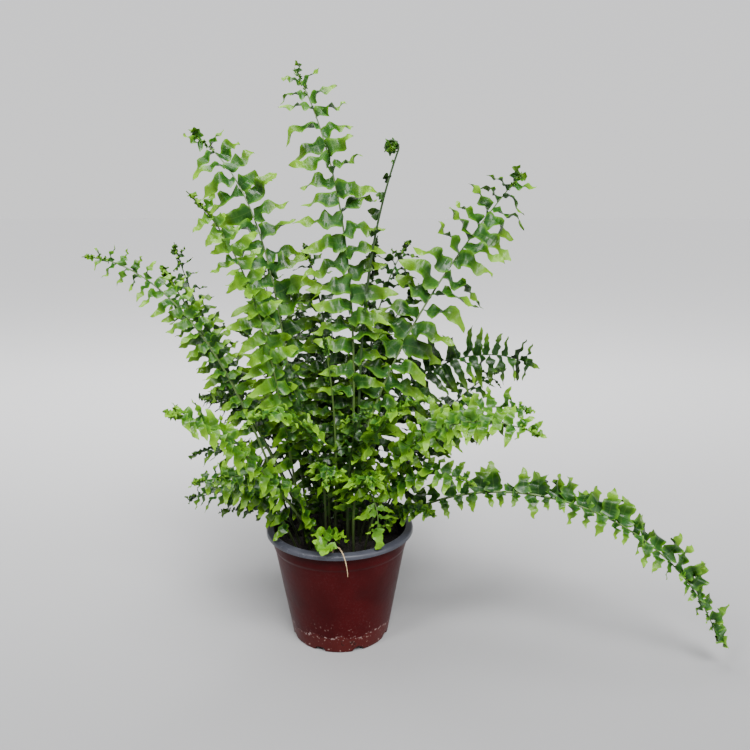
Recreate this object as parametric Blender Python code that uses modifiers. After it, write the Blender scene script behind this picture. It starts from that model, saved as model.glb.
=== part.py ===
"""Potted fern: a thin nursery pot full of peat, with one node for each frond that stands in the peat.

The frame stands at the centre of the pot's flat base, +Z up and +X along the longest frond. A frond is
grown as a chain of extrusions: a small square face climbs the frond's spine ring by ring, and then the
side walls of the leafy part are pulled out one by one into pinnae. A pinna that would touch another
piece is tilted or shortened until it clears it.
"""

import math
from typing import NamedTuple

import bmesh
import bpy
import numpy as np
from mathutils import Vector
from mathutils.bvhtree import BVHTree

MM = 0.001

# Pot, a 9 cm nursery pot
RIM_RADIUS = 45 * MM
BASE_RADIUS = 30 * MM
POT_HEIGHT = 71 * MM
POT_WALL = 0.8 * MM
LIP_WIDTH = 4 * MM
LIP_DROP = 3.4 * MM
SHOULDER_DROP = 12 * MM
SHOULDER_STEP = 0.8 * MM
CORNER = 1 * MM
TURN_STEPS = 48
NOTCH_COUNT = 8
NOTCH_RADIUS = 3.5 * MM
NOTCH_HEIGHT = 3 * MM

# Peat
PEAT_DROP = 9 * MM
MOUND = 1.5 * MM
MOUND_RINGS = (12 * MM, 26 * MM)
FIT_GAP = 0.3 * MM

# Fronds
ROOT_LENGTH = 9 * MM
TIP_SHARE = 0.45
TAPER_START = 0.33
STEM_FLATNESS = 0.8
STIPE_RINGS = 5
SPINE_STEPS = 60
LEAFY_END = 0.99
LEAFY_SPREAD = 0.94
OUTLINE_START = 0.24
OUTLINE_END = 0.92
OUTLINE_FULLNESS = 0.9
PINNA_SWEEP = math.radians(14)
PINNA_WIDEST = 0.35
PINNA_SLENDER = 0.17
PINNA_THICKNESS = 0.9 * MM
PINNA_DROOP = 0.12
PINNA_CLEARANCE = 0.35 * MM
TILTS = [math.radians(a) for a in (0, 16, -16, 32, -32, 48)]
SHORTER = (1.0, 0.8, 0.62, 0.45)

# Coiled tip of the young frond
COIL_RADIUS = 4.2 * MM
COIL_END_RADIUS = 1.9 * MM
COIL_TURNS = 1.2
COIL_STEPS = 14
COIL_WIDTH = 1.6 * MM
COIL_TIP_WIDTH = 0.8 * MM

# Sockets
SOCKET_RISE = 6 * MM

# Distance from the rim to the two stems that lie over it
RUNNER_INSET = 18 * MM
STALK_INSET = 15 * MM


class Frond(NamedTuple):
    """One frond: angles in degrees, anticlockwise from +X for foot and heading; lengths in mm."""

    name: str
    foot: float  # where round the pot's axis the stipe stands
    out: float  # and how far from the axis
    heading: float  # the way it leans
    rise: float  # elevation at the peat
    fall: float  # elevation at the tip
    bend: float  # how late it arches: 1 is an even arc
    swing: float  # how far the heading has turned at the tip
    length: float
    roll: float  # turn of the blade about its rachis
    bare: float  # share of the length below the first pinna
    pairs: int
    reach: float  # the longest pinna
    coil: bool = False
    width: float = 1.9  # of the stipe


FRONDS = [
    Frond("frond_tall_centre", 10, 7, 150, 92, 40, 3.0, -30, 295, -50, 0.36, 13, 28),
    Frond("frond_tall_left", 168, 20, 140, 82, 20, 4.0, 10, 270, -45, 0.30, 13, 31),
    Frond("frond_tall_right", -50, 9, 20, 92, 30, 0.8, 35, 275, 55, 0.28, 14, 31),
    Frond("frond_fiddlehead", -6, 11.6, -8, 90, 70, 2.5, 5, 233, 0, 0.66, 5, 12, True),
    Frond("frond_young_dark", 17, 13, 40, 91, 72, 2.5, 0, 185, 20, 0.72, 4, 12),
    Frond("frond_left", 200, 22, 215, 81, 40, 4.0, 0, 222, -75, 0.28, 15, 21),
    Frond("frond_left_inner", 150, 21, 160, 60, 50, 2.0, -40, 212, -60, 0.42, 12, 16),
    Frond("frond_left_outer", 192, 17, 178, 66, 40, 2.5, -45, 195, -60, 0.42, 12, 18),
    Frond("frond_far_left", 205, 26, 177, 71, -3, 3.0, -16, 230, -60, 0.45, 14, 16),
    Frond("frond_left_front", 228, 16, 225, 55, 15, 2.5, 30, 162, -50, 0.35, 13, 16),
    Frond("frond_left_low", 212, 30, 203, 70, -30, 2.0, -30, 85, -30, 0.25, 9, 16),
    Frond("frond_left_lowest", 183, 30, 180, 60, -40, 1.3, -30, 80, -30, 0.25, 8, 15),
    Frond("frond_back_left", 125, 16, 130, 68, 25, 2.0, -35, 205, -10, 0.30, 13, 19),
    Frond("frond_back_small", 75, 12, 120, 88, 15, 1.5, 0, 180, 0, 0.40, 11, 14),
    Frond("frond_bud", 250, 9, 240, 95, 70, 1.7, 5, 130, 0, 0.60, 5, 7),
    Frond("frond_back_right", 55, 20, 60, 90, 20, 2.0, 5, 205, 15, 0.35, 12, 20),
    Frond("frond_right_dark", 30, 18, 35, 96, -24, 1.2, -38, 185, 75, 0.35, 20, 21),
    Frond("frond_right_inner", 22, 24, 30, 62, 0, 1.7, 15, 150, 20, 0.35, 11, 18),
    Frond("frond_right", 6, 16, 5, 74, -25, 1.5, 15, 148, 40, 0.30, 12, 19),
    Frond("frond_right_front", -35, 15, -35, 78, -15, 1.3, -5, 165, 35, 0.30, 14, 18),
    Frond("frond_long_right", -15, 20, -15, 52, -70, 0.9, 15, 254, 35, 0.18, 22, 22),
    Frond("frond_front_right", 207, 2, -54, 98, -114, 1.6, 0, 92, 10, 0.34, 9, 20),
    Frond("frond_front_low", 265, 18, 262, 65, -30, 1.5, 0, 38, 0, 0.30, 3, 12),
    Frond("frond_front_left", 240, 17, 240, 95, -20, 1.7, 0, 140, -20, 0.40, 10, 18),
    Frond("frond_front_broad", -48, 13, -50, 88, 15, 1.6, 10, 125, 20, 0.35, 8, 21),
    Frond("frond_back_arch", 80, 22, 75, 70, -10, 1.5, 0, 195, 5, 0.20, 15, 24),
    Frond("frond_back_tall", 100, 23, 105, 72, -10, 1.6, 0, 195, 0, 0.20, 15, 24),
    Frond("frond_back_low", 90, 29, 90, 60, -40, 1.3, 0, 130, 0, 0.25, 10, 20),
    Frond("frond_back_far_left", 140, 26, 130, 58, -25, 1.5, 10, 155, -10, 0.30, 12, 20),
    Frond("frond_back_low_left", 150, 29, 150, 60, -35, 1.3, 0, 110, -10, 0.25, 10, 17),
    Frond("frond_back_low_right", 45, 29, 50, 58, -30, 1.3, 0, 145, 10, 0.25, 11, 19),
    Frond("frond_middle", -72, 16, 285, 86, 20, 2.0, 0, 115, 0, 0.20, 10, 15),
    Frond("frond_front_rim", -30, 25, -25, 74, -20, 1.4, 0, 52, 15, 0.25, 7, 10),
    Frond("frond_left_short", 215, 22, 195, 84, 25, 1.4, 0, 46, -15, 0.15, 7, 12),
    Frond("frond_crown_left", 180, 10, 190, 88, 30, 2.0, 0, 150, -40, 0.18, 12, 17),
    Frond("frond_crown_right", 56, 9, 25, 88, 40, 2.0, 0, 165, 30, 0.20, 12, 18),
    Frond("frond_crown_centre", 135, 4, 120, 92, 50, 2.0, 0, 185, -20, 0.30, 12, 19),
    Frond("frond_collar_front", 207, 7, 272, 90, -25, 1.5, 0, 95, -10, 0.15, 9, 15),
    Frond("frond_collar_front_left", 235, 24, 215, 84, -15, 1.4, 0, 95, -20, 0.14, 9, 15),
    Frond("frond_collar_left", 157, 13, 172, 86, -10, 1.6, 0, 125, -30, 0.15, 11, 17),
    Frond("frond_collar_back_left", 123, 24, 150, 75, -20, 1.5, 0, 130, -5, 0.12, 11, 19),
    Frond("frond_collar_back", 101, 16, 95, 88, 10, 1.8, 0, 165, 0, 0.12, 13, 22),
    Frond("frond_collar_back_right", 64, 28, 65, 70, -25, 1.5, 0, 135, 5, 0.12, 11, 19),
    Frond("frond_collar_right", 5, 25, 20, 72, -20, 1.5, 0, 120, 20, 0.15, 11, 17),
    Frond("frond_collar_front_right", -47, 23, -30, 80, -20, 1.4, 0, 100, 20, 0.14, 9, 16),
    Frond("frond_collar_middle", -68, 24, -75, 94, -10, 1.6, 0, 82, 5, 0.20, 8, 15),
    Frond("runner", 168, (RIM_RADIUS - RUNNER_INSET) / MM, 174, 78, -20, 0.5, 0, 57, 0, 0.35, 6, 5, width=1.2),
    Frond("dry_stalk", 263, (RIM_RADIUS - STALK_INSET) / MM, 292, 72, -85, 1.3, 0, 40, 0, 0.90, 0, 0, width=1.0),
]


def collection(name):
    """A new collection in the scene."""
    made = bpy.data.collections.new(name)
    bpy.context.scene.collection.children.link(made)
    return made


def material(name, colour, roughness):
    """A Principled material of one colour."""
    made = bpy.data.materials.new(name)
    made.use_nodes = True
    shader = made.node_tree.nodes["Principled BSDF"]
    shader.inputs["Base Color"].default_value = (*colour, 1)
    shader.inputs["Roughness"].default_value = roughness
    shader.inputs["Metallic"].default_value = 0
    made.diffuse_color = (*colour, 1)
    return made


def place(name, mesh, home, look=None):
    """An object for this mesh, in the collection home."""
    made = bpy.data.objects.new(name, mesh)
    home.objects.link(made)
    if look:
        mesh.materials.append(look)
    return made


def solid_mesh(name, bm):
    """A mesh of this name from a closed bmesh, with its normals out."""
    bmesh.ops.recalc_face_normals(bm, faces=bm.faces)
    mesh = bpy.data.meshes.new(name)
    bm.to_mesh(mesh)
    bm.free()
    return mesh


def turned(name, profile, home, look):
    """A solid turned about +Z from (radius, height) points that run down its outer side."""
    mesh = bpy.data.meshes.new(name)
    edges = [(i, i + 1) for i in range(len(profile) - 1)]
    mesh.from_pydata([(r, 0, z) for r, z in profile], edges, [])
    made = place(name, mesh, home, look)
    screw = made.modifiers.new("turn", "SCREW")
    screw.steps = TURN_STEPS
    screw.render_steps = TURN_STEPS
    screw.use_merge_vertices = True
    screw.merge_threshold = 0.01 * MM
    screw.use_smooth_shade = False
    return made


def inner_radius(height):
    """The radius of the pot's inside at this height, below the shoulder."""
    top = RIM_RADIUS - LIP_WIDTH - SHOULDER_STEP - POT_WALL
    share = height / (POT_HEIGHT - SHOULDER_DROP)
    return BASE_RADIUS - POT_WALL + share * (top - BASE_RADIUS + POT_WALL)


def pot_profile():
    """The pot's wall, from the middle of its floor up the inside, over the lip and down the outside."""
    wall = RIM_RADIUS - LIP_WIDTH
    lip_top = POT_HEIGHT - LIP_DROP
    shoulder = POT_HEIGHT - SHOULDER_DROP
    corner_in = inner_radius(POT_WALL + CORNER)
    return [
        (0, POT_WALL),
        (corner_in - CORNER, POT_WALL),
        (corner_in, POT_WALL + CORNER),
        (wall - SHOULDER_STEP - POT_WALL, shoulder),
        (wall - POT_WALL, shoulder + 2 * SHOULDER_STEP),
        (wall - POT_WALL / 2, POT_HEIGHT - CORNER / 2),
        (wall + CORNER / 2, POT_HEIGHT),
        (RIM_RADIUS - 1.5 * CORNER, POT_HEIGHT - CORNER / 4),
        (RIM_RADIUS, POT_HEIGHT - 1.2 * CORNER),
        (RIM_RADIUS, lip_top),
        (RIM_RADIUS - POT_WALL, lip_top),
        (RIM_RADIUS - POT_WALL - CORNER / 2, POT_HEIGHT - POT_WALL - CORNER / 2),
        (wall + CORNER / 2, POT_HEIGHT - POT_WALL - CORNER / 2),
        (wall, lip_top),
        (wall, shoulder + SHOULDER_STEP),
        (wall - SHOULDER_STEP, shoulder - SHOULDER_STEP),
        (BASE_RADIUS, CORNER),
        (BASE_RADIUS - CORNER, 0),
        (0, 0),
    ]


def make_pot(home, cutters):
    """The pot, with drain notches cut through the corner of its base."""
    pot = turned("pot", pot_profile(), home, material("pot red", (0.13, 0.018, 0.016), 0.4))
    for i in range(NOTCH_COUNT):
        angle = 2 * math.pi * (i + 0.5) / NOTCH_COUNT
        mesh = bpy.data.meshes.new(f"notch_{i + 1}")
        bm = bmesh.new()
        bmesh.ops.create_cone(
            bm,
            cap_ends=True,
            segments=16,
            radius1=NOTCH_RADIUS,
            radius2=NOTCH_RADIUS,
            depth=2 * NOTCH_HEIGHT,
        )
        bm.to_mesh(mesh)
        bm.free()
        notch = place(mesh.name, mesh, cutters)
        notch.location = (BASE_RADIUS * math.cos(angle), BASE_RADIUS * math.sin(angle), 0)
        cut = pot.modifiers.new(mesh.name, "BOOLEAN")
        cut.operation = "DIFFERENCE"
        cut.object = notch
    return pot


def peat_height(radius):
    """The height of the peat's surface, a low mound."""
    return POT_HEIGHT - PEAT_DROP - MOUND * (radius / inner_radius(POT_HEIGHT - PEAT_DROP)) ** 2


def make_peat(home):
    """The peat, a gap clear of the pot all round. The stipes' sockets are cut later."""
    floor = POT_WALL + FIT_GAP
    edge = peat_height(0) - MOUND
    corner = inner_radius(POT_WALL + CORNER) - CORNER - FIT_GAP
    profile = [(radius, peat_height(radius)) for radius in (0, *MOUND_RINGS)]
    shoulder = POT_HEIGHT - SHOULDER_DROP
    profile += [
        (inner_radius(shoulder) - FIT_GAP, min(edge, shoulder)),
        (inner_radius(floor + CORNER) - FIT_GAP, floor + CORNER),
        (corner, floor),
        (0, floor),
    ]
    return turned("peat", profile, home, material("peat", (0.018, 0.012, 0.009), 0.95))


def spine_of(frond):
    """The points of a frond's spine from the end of its root to its tip, evenly spaced above the peat,
    with the unit vectors along it, to its right and out of its upper face."""
    t = (np.arange(SPINE_STEPS) + 0.5) / SPINE_STEPS
    rise = np.radians(frond.rise + (frond.fall - frond.rise) * t**frond.bend)
    head = np.radians(frond.heading + frond.swing * t**2)
    along = np.stack([np.cos(rise) * np.cos(head), np.cos(rise) * np.sin(head), np.sin(rise)], 1)
    foot = math.radians(frond.foot)
    radius = frond.out * MM
    start = np.array([radius * math.cos(foot), radius * math.sin(foot), peat_height(radius)])
    steps = np.cumsum(along, axis=0) * frond.length * MM / SPINE_STEPS
    points = np.vstack([start - along[0] * ROOT_LENGTH, start, start + steps])
    along = np.vstack([along[0], along[0], along])
    head = np.concatenate([head[:1], head[:1], head])
    side = np.stack([np.sin(head), -np.cos(head), np.zeros_like(head)], 1)
    upper = np.cross(side, along)
    roll = math.radians(frond.roll)
    return points, along, side * math.cos(roll) - upper * math.sin(roll), (
        upper * math.cos(roll) + side * math.sin(roll)
    )


def station(spine, share):
    """The spine's point and its three directions at a share of the way from the peat to the tip."""
    at = 1 + share * SPINE_STEPS
    low = min(int(at), SPINE_STEPS)
    mix = at - low
    return [Vector(rows[low] * (1 - mix) + rows[low + 1] * mix) for rows in spine]


def ring_of(point, side, upper, width, gap=0.0):
    """The four corners of a stem's section, anticlockwise as seen from the tip."""
    half = side * (width / 2 + gap)
    thick = upper * (width * STEM_FLATNESS / 2 + gap)
    return [point - half + thick, point + half + thick, point + half - thick, point - half - thick]


def stem_width(frond, share):
    """The width of a stem, full up to a third of its length and then tapering to the tip."""
    taper = max(0, (share - TAPER_START) / (1 - TAPER_START))
    return frond.width * MM * (1 - (1 - TIP_SHARE) * taper)


def reach_at(frond, share):
    """The length of the pinnae at a share of the way along the leafy part, an arc of a sine wave."""
    turn = math.pi * (OUTLINE_START + (OUTLINE_END - OUTLINE_START) * share)
    return frond.reach * MM * math.sin(turn) ** OUTLINE_FULLNESS


def leafy_shares(frond):
    """The shares of the length at which the leafy part's rings stand, one pinna between each two."""
    count = max(2 * frond.pairs, 1)
    span = LEAFY_END - frond.bare
    return [frond.bare + span * (i / count) ** LEAFY_SPREAD for i in range(count + 1)]


def extrude_on(bm, cap, ring):
    """Extrudes a cap face to the corners of the next ring. Returns the new cap and its four walls."""
    cap = bmesh.ops.extrude_discrete_faces(bm, faces=[cap])["faces"][0]
    for vert, corner in zip(cap.verts, ring):
        vert.co = corner
    return cap, [next(f for f in edge.link_faces if f is not cap) for edge in cap.edges]


def coil_rings(spine):
    """Rings that carry a stem on into a coil of falling radius, towards its upper face."""
    centre, along, side, upper = station(spine, 1)
    centre = centre + upper * COIL_RADIUS
    rings = []
    for i in range(1, COIL_STEPS + 1):
        share = i / COIL_STEPS
        turn = 2 * math.pi * COIL_TURNS * share
        radius = COIL_RADIUS + (COIL_END_RADIUS - COIL_RADIUS) * share
        outward = along * math.sin(turn) - upper * math.cos(turn)
        width = COIL_WIDTH + (COIL_TIP_WIDTH - COIL_WIDTH) * share
        rings.append(ring_of(centre + outward * radius, side, -outward, width))
    return rings


def grow_stem(frond):
    """A frond's stem as a bmesh, with the walls its pinnae grow from: right and left in turn."""
    spine = spine_of(frond)
    root, _, side, upper = [Vector(rows[0]) for rows in spine]
    bm = bmesh.new()
    first = [bm.verts.new(c) for c in ring_of(root, side, upper, frond.width * MM)]
    cap = bm.faces.new(first)
    bare = [frond.bare * i / STIPE_RINGS for i in range(STIPE_RINGS)]
    leafy = leafy_shares(frond)
    beds = []
    for share in bare + leafy:
        point, _, side, upper = station(spine, share)
        width = COIL_WIDTH if frond.coil and share > frond.bare else stem_width(frond, share)
        cap, walls = extrude_on(bm, cap, ring_of(point, side, upper, width))
        if share > frond.bare:
            beds.append(walls[1 if len(beds) % 2 else 3])
    if frond.coil:
        for ring in coil_rings(spine):
            cap, _ = extrude_on(bm, cap, ring)
    bm.faces.new(reversed(first))
    return bm, spine, leafy, beds


def pinna_points(bed, spine, share, right, reach, tilt, swell=0.0):
    """Where a pinna's corners go: the bed's four corners at its base, four at its widest and its tip.

    The corners are given as a list of pairs, corner of the bed and point at the widest."""
    _, along, side, upper = station(spine, share)
    middle = bed.calc_center_median()
    sweep = side if right else -side
    out = sweep * math.cos(PINNA_SWEEP) + along * math.sin(PINNA_SWEEP)
    face = upper * math.cos(tilt) - sweep * math.sin(tilt)
    out = out * math.cos(tilt) + upper * math.sin(tilt)
    across = face.cross(out).normalized()
    sag = Vector((0, 0, -PINNA_DROOP * reach))
    waist = middle + out * reach * PINNA_WIDEST + sag * PINNA_WIDEST**2
    half = across * (PINNA_SLENDER * reach + swell)
    thick = face * (PINNA_THICKNESS / 2 + swell)
    pairs = []
    for vert in bed.verts:
        offset = vert.co - middle
        a = half if offset.dot(across) > 0 else -half
        b = thick if offset.dot(upper) > 0 else -thick
        pairs.append((vert, waist + a + b))
    return pairs, middle + out * (reach + swell) + sag


def tree_of(pairs, tip):
    """The surface of a trial pinna as a search tree, from just outside its bed."""
    near = [vert.co.lerp(point, 0.2) for vert, point in pairs]
    points = near + [point for _, point in pairs] + [tip]
    faces = [(i, (i + 1) % 4, 4 + (i + 1) % 4, 4 + i) for i in range(4)]
    faces += [(4 + i, 4 + (i + 1) % 4, 8) for i in range(4)]
    return BVHTree.FromPolygons(points, faces)


def clears(trial, others):
    return not any(trial.overlap(other) for other in others)


def pull_pinna(bm, bed, pairs, tip):
    """Extrudes a wall of the stem into a pinna."""
    goals = dict(pairs)
    waist = bmesh.ops.extrude_discrete_faces(bm, faces=[bed])["faces"][0]
    raised = list(waist.verts)
    for vert in raised:
        base = next(e.other_vert(vert) for e in vert.link_edges if e.other_vert(vert) in goals)
        vert.co = goals[base]
    point = bmesh.ops.extrude_discrete_faces(bm, faces=[waist])["faces"][0]
    bmesh.ops.pointmerge(bm, verts=list(point.verts), merge_co=tip)


def grow_pinnae(frond, stem, others):
    """Pulls out a frond's pinnae, each at the first length and tilt that clears all the others."""
    bm, spine, leafy, beds = stem
    grown = []
    for i, bed in enumerate(beds[: 2 * frond.pairs]):
        share = (leafy[i] + leafy[i + 1]) / 2
        right = bool(i % 2)
        full = reach_at(frond, i / len(beds))
        for reach, tilt in ((full * s, t) for s in SHORTER for t in TILTS):
            trial = pinna_points(bed, spine, share, right, reach, tilt, PINNA_CLEARANCE)
            if clears(tree_of(*trial), others + grown[-3:-1]):
                break
        else:
            continue
        pairs, tip = pinna_points(bed, spine, share, right, reach, tilt)
        grown.append(tree_of(pairs, tip))
        pull_pinna(bm, bed, pairs, tip)


def frond_look(frond):
    """A green for each frond, lighter where it leans to the front, or the tan of a dried stalk."""
    if not frond.pairs:
        return material("dry stalk", (0.42, 0.30, 0.15), 0.8)
    light = 0.5 - 0.5 * math.sin(math.radians(frond.heading))
    colour = (0.045 + 0.10 * light, 0.16 + 0.16 * light, 0.018 + 0.012 * light)
    return material(frond.name + " green", colour, 0.5)


def make_socket(frond, peat, cutters):
    """Cuts the hole in the peat that a stipe's foot stands in, a gap wider all round."""
    root, along, side, upper = [Vector(rows[0]) for rows in spine_of(frond)]
    bm = bmesh.new()
    first = [
        bm.verts.new(c)
        for c in ring_of(root - along * FIT_GAP, side, upper, frond.width * MM, FIT_GAP)
    ]
    top = root + along * (ROOT_LENGTH + SOCKET_RISE)
    extrude_on(bm, bm.faces.new(first), ring_of(top, side, upper, frond.width * MM, FIT_GAP))
    bm.faces.new(reversed(first))
    socket = place("socket_" + frond.name, solid_mesh("socket_" + frond.name, bm), cutters)
    cut = peat.modifiers.new(socket.name, "BOOLEAN")
    cut.operation = "DIFFERENCE"
    cut.object = socket


def ground_tree():
    """A search tree of the level that the pot stands on, so that no pinna hangs below it."""
    far = 1.0
    corners = [(-far, -far, MM), (far, -far, MM), (far, far, MM), (-far, far, MM)]
    return BVHTree.FromPolygons(corners, [(0, 1, 2, 3)])


def make_fronds(home, vessel):
    """Every frond, its pinnae clear of the pot, the peat, the ground and the other fronds."""
    graph = bpy.context.evaluated_depsgraph_get()
    still = [ground_tree()] + [BVHTree.FromObject(piece, graph) for piece in vessel]
    stems = {frond: grow_stem(frond) for frond in FRONDS}
    trees = {frond: BVHTree.FromBMesh(stem[0]) for frond, stem in stems.items()}
    for frond, stem in stems.items():
        others = still + [tree for other, tree in trees.items() if other is not frond]
        grow_pinnae(frond, stem, others)
        trees[frond] = BVHTree.FromBMesh(stem[0])
        place(frond.name, solid_mesh(frond.name, stem[0]), home, frond_look(frond))


def hide_cutters(cutters):
    """Keeps the cutters out of the model and drawn as wire."""
    for cutter in cutters.objects:
        cutter.hide_render = True
        cutter.display_type = "WIRE"


def main():
    for stale in list(bpy.data.objects):
        bpy.data.objects.remove(stale, do_unlink=True)
    home = collection("potted_fern")
    cutters = collection("cutters")
    pot = make_pot(home, cutters)
    peat = make_peat(home)
    bpy.context.view_layer.update()
    make_fronds(home, [pot, peat])
    for frond in FRONDS:
        make_socket(frond, peat, cutters)
    hide_cutters(cutters)


main()
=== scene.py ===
"""Young fern: arching fronds of wavy leaflets, growing from peat in a thin nursery pot.

Metres, +Z up, the origin in the middle of the pot's base, -Y to the front."""

import math
from typing import NamedTuple

import bpy
import numpy as np
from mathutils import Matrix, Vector


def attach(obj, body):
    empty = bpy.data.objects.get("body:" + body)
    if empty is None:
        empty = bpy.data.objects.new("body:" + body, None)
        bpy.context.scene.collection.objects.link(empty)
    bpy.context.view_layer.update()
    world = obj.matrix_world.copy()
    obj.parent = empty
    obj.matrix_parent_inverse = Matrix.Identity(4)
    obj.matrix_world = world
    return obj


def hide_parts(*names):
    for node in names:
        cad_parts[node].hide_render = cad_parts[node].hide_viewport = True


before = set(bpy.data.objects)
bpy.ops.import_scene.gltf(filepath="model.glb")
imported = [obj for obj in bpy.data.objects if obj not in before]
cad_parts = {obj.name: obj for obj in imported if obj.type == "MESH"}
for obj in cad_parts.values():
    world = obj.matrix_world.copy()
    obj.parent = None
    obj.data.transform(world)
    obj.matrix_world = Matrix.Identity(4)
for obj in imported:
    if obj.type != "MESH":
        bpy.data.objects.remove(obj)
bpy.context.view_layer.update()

MM = 0.001


# ---- Pot -----------------------------------------------------------------------------------------
# A nursery pot drawn from one thin sheet of plastic, red-brown outside and slate grey inside. The
# sheet's edge is turned outwards and down into a lip, a step below it stacks the pots, and drain
# notches are cut through the corner of the base.

RIM_RADIUS = 45 * MM
BASE_RADIUS = 30 * MM
POT_HEIGHT = 71 * MM
POT_WALL = 0.8 * MM
LIP_WIDTH = 4 * MM
LIP_DROP = 3.4 * MM
SHOULDER_DROP = 12 * MM
SHOULDER_STEP = 0.8 * MM
WALL_TOP = RIM_RADIUS - LIP_WIDTH
POT_TURN = 192  # points round it
POLE = 1 * MM  # radius of the last ring of a turned piece, which a fan closes
RIM_FLEX = (0.25, 0.12)  # how far the thin rim is pulled into an oval and a triangle, in millimetres
DENT_TURN = math.radians(-66)
DENT_LEVEL = 37 * MM
DENT_DEPTH = 0.45 * MM
DENT_HEIGHT = 5 * MM
DENT_SWEEP = 0.016  # square of the dent's half angle
STACK_LINE_DROP = 1.9 * MM  # below the shoulder
STACK_LINE_DEPTH = 0.16 * MM
STACK_LINE_WIDTH = 0.35 * MM


def rounded(corners, cut, steps=5):
    """Corners of a profile with each one cut back by its length in cut and rounded, as a curve of
    (1-t)^2 A + 2t(1-t) P + t^2 B between the cut points A and B on either side of the corner P."""
    corners = np.asarray(corners, float)
    cut = np.asarray(cut, float)[:, None]
    back = corners[:-2] - corners[1:-1]
    ahead = corners[2:] - corners[1:-1]
    a = corners[1:-1] + back / np.linalg.norm(back, axis=1, keepdims=True) * cut
    b = corners[1:-1] + ahead / np.linalg.norm(ahead, axis=1, keepdims=True) * cut
    t = np.linspace(0, 1, steps)[None, :, None]
    curve = (1 - t) ** 2 * a[:, None] + 2 * t * (1 - t) * corners[1:-1][:, None] + t**2 * b[:, None]
    return np.vstack([corners[:1], curve.reshape(-1, 2), corners[-1:]])


def filled(profile, longest):
    """A profile with points added on its straight runs, so that none is longer than longest."""
    runs = np.linalg.norm(np.diff(profile, axis=0), axis=1)
    counts = np.maximum(1, np.ceil(runs / longest)).astype(int)
    starts = np.repeat(np.arange(len(runs)), counts)
    first = np.repeat(np.cumsum(counts) - counts, counts)
    share = (np.arange(counts.sum()) - first) / counts[starts]
    points = profile[starts] + (profile[starts + 1] - profile[starts]) * share[:, None]
    return np.vstack([points, profile[-1:]])


def mesh_piece(name, points, faces, looks, slots=None, uv=None, shade=None, sharp=40):
    """An object at the origin from points and faces; slots picks a look for each face, uv and shade
    hold one value for each point, and edges that fold by more than sharp degrees stay crisp."""
    mesh = bpy.data.meshes.new(name)
    mesh.from_pydata(points.tolist(), [], [list(f) for f in faces])
    for look in looks:
        mesh.materials.append(look)
    if slots is not None:
        mesh.polygons.foreach_set("material_index", np.asarray(slots, np.int32))
    mesh.shade_smooth()
    if uv is not None:
        corner = np.empty(len(mesh.loops), np.int32)
        mesh.loops.foreach_get("vertex_index", corner)
        mesh.uv_layers.new(name="run").data.foreach_set("uv", uv[corner].astype(np.float32).ravel())
    if shade is not None:
        tint = mesh.attributes.new("shade", "FLOAT", "POINT")
        tint.data.foreach_set("value", shade.astype(np.float32))
    mesh.set_sharp_from_angle(angle=math.radians(sharp))
    mesh.update()
    made = bpy.data.objects.new(name, mesh)
    bpy.context.scene.collection.objects.link(made)
    return made


def turned_grid(radius, height, turn):
    """Points, quads and the two end fans of a closed surface of revolution: row i, column j is at
    radius[i, j] from the axis, at height[i, j] and at the angle turn[j]."""
    rows, cols = radius.shape
    ring = np.stack([radius * np.cos(turn), radius * np.sin(turn), height], axis=-1).reshape(-1, 3)
    poles = [[0, 0, height[0].mean()], [0, 0, height[-1].mean()]]
    i, j = np.meshgrid(np.arange(rows - 1), np.arange(cols), indexing="ij")
    k = (j + 1) % cols
    quads = np.stack([i * cols + j, i * cols + k, (i + 1) * cols + k, (i + 1) * cols + j], -1)
    j = np.arange(cols)
    k = (j + 1) % cols
    first = np.stack([np.full(cols, rows * cols), k, j], -1)
    end = (rows - 1) * cols
    last = np.stack([np.full(cols, rows * cols + 1), end + j, end + k], -1)
    return np.vstack([ring, poles]), quads.reshape(-1, 4), first, last


def turned_inside_out(quads, first, last):
    """The faces of a turned surface as lists, wound the other way round, quads before fans."""
    return [*quads[:, ::-1].tolist(), *first[:, ::-1].tolist(), *last[:, ::-1].tolist()]


def inner_radius(height):
    """The radius of the pot's inside at a height below its shoulder, a straight taper."""
    top = WALL_TOP - SHOULDER_STEP - POT_WALL
    taper = (top - BASE_RADIUS + POT_WALL) / (POT_HEIGHT - SHOULDER_DROP)
    return BASE_RADIUS - POT_WALL + height * taper


def nodes_for(name):
    """A new material's node tree, its shader and its object coordinates."""
    made = bpy.data.materials.new(name)
    made.use_nodes = True
    tree = made.node_tree
    where = tree.nodes.new("ShaderNodeTexCoord").outputs["Object"]
    return made, tree, tree.nodes["Principled BSDF"], where


def noise(tree, where, scale, detail=3.0, rough=0.5):
    """Noise from 0 to 1 at so many features to the metre."""
    node = tree.nodes.new("ShaderNodeTexNoise")
    node.inputs["Scale"].default_value = scale
    node.inputs["Detail"].default_value = detail
    node.inputs["Roughness"].default_value = rough
    tree.links.new(where, node.inputs["Vector"])
    return node.outputs["Fac"]


def band(tree, value, low, high, out_low=0.0, out_high=1.0):
    """A value carried from low..high to out_low..out_high, smoothly and held at both ends."""
    node = tree.nodes.new("ShaderNodeMapRange")
    node.interpolation_type = "SMOOTHSTEP"
    ends = {"From Min": low, "From Max": high, "To Min": out_low, "To Max": out_high}
    for key, number in ends.items():
        node.inputs[key].default_value = number
    tree.links.new(value, node.inputs["Value"])
    return node.outputs["Result"]


def arithmetic(tree, operation, a, b):
    """A Math node of two values, each a socket or a number."""
    node = tree.nodes.new("ShaderNodeMath")
    node.operation = operation
    for socket, value in zip(node.inputs, (a, b)):
        if isinstance(value, (int, float)):
            socket.default_value = value
        else:
            tree.links.new(value, socket)
    return node.outputs[0]


def both(tree, a, b):
    """The product of two values: one pattern kept where the other is."""
    return arithmetic(tree, "MULTIPLY", a, b)


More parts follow.
